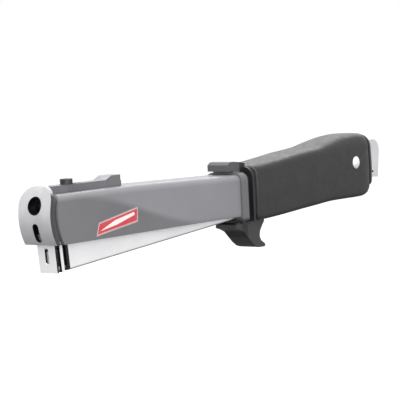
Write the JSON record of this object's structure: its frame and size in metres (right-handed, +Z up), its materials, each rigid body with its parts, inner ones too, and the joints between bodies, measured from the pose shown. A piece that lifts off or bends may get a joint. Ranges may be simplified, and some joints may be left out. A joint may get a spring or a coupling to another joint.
{
  "type": "hammer tacker",
  "caption": "Hand-swung staple gun with a folded steel housing, rear-loading pivoting magazine, rubber grip, finger guard and hinged face plate.",
  "frame": {"origin": "under the middle of the tool's box, at the height of the finger guard's lowest point", "axes": "+X along the tool from the face plate to the tail cap, +Y across the tool, +Z up from the guard to the grip's back"},
  "size_m": [0.37, 0.0392, 0.073],
  "materials": {
    "grey_paint": "satin metallic grey paint over folded sheet steel",
    "dark_steel": "dark phosphated steel",
    "satin_casting": "tumbled satin die casting",
    "zinc_steel": "bright zinc-plated steel",
    "grey_zinc": "grey zinc-plated steel",
    "black_steel": "black oxide",
    "raw_aluminium": "machined",
    "hard_steel": "ground hardened steel",
    "soft_rubber": "moulded",
    "spring_wire": "drawn spring wire",
    "bright_nickel": "bright nickel plate",
    "staple_wire": "flattened galvanised wire, glued in a strip",
    "bronze": "sintered bronze",
    "black_plastic": "moulded acetal",
    "satin_chrome": "satin chrome plate",
    "bolster_plastic": "moulded glass-filled nylon",
    "grip_rubber": "moulded soft rubber",
    "cap_plastic": "moulded nylon",
    "polished_steel": "polished"
  },
  "bodies": {
    "root": {"housing": "grey_paint", "head_frame": "dark_steel", "face_hinge_pin": "zinc_steel", "slide_screw": "black_steel", "driver_block": "raw_aluminium", "driver_blade": "hard_steel", "driver_screws": "black_steel", "bumper": "soft_rubber", "spring_cup": "zinc_steel", "return_spring": "spring_wire", "handle_core": "dark_steel", "bolster": "bolster_plastic", "rest_pad": "soft_rubber", "grip": "grip_rubber", "grip_screws": "black_steel", "end_cap": "cap_plastic", "pivot_pin": "polished_steel", "pivot_cap": "polished_steel"},
    "face": {"face_plate": "satin_casting"},
    "slide": {"jam_slide": "grey_zinc"},
    "magazine": {"magazine_channel": "bright_nickel", "magazine_core": "zinc_steel", "nose_plate": "bright_nickel", "nose_guide": "bright_nickel", "nose_rivets": "zinc_steel", "spring_saddle": "zinc_steel", "staple_strip": "staple_wire", "pivot_bushes": "bronze"},
    "loader": {"loader_rod": "zinc_steel", "rod_stop": "zinc_steel", "feed_spring": "spring_wire", "tail_cap": "satin_chrome", "tail_pin": "black_steel"},
    "pusher": {"follower": "black_plastic"}
  },
  "joints": [
    {"name": "slide_push", "type": "slide", "parent": "root", "child": "slide", "axis": [-1, 0, 0], "range_m": [0, 0.0097]},
    {"name": "face_swing", "type": "hinge", "parent": "root", "child": "face", "pos_m": [-0.1764, 0, 0.026], "axis": [0, -1, 0], "range_deg": [0, 18]},
    {"name": "magazine_swing", "type": "hinge", "parent": "root", "child": "magazine", "pos_m": [0.139, 0, 0.0514], "axis": [0, 1, 0], "range_deg": [0, 2.56], "stiffness_Nm_per_rad": 20, "springref_deg": -11.46, "deforming": ["return_spring"]},
    {"name": "loader_draw", "type": "slide", "parent": "magazine", "child": "loader", "axis": [0.9962, 0, 0.0872], "range_m": [0, 0.24]},
    {"name": "follower_feed", "type": "slide", "parent": "loader", "child": "pusher", "axis": [0.9962, 0, 0.0872], "range_m": [0, 0.1], "stiffness_N_per_m": 15, "springref_m": -0.3, "deforming": ["feed_spring"]}
  ],
  "couplings": [
    {"joint": "face_swing", "follows": "slide_push", "rad_per_m": 32.38}
  ]
}
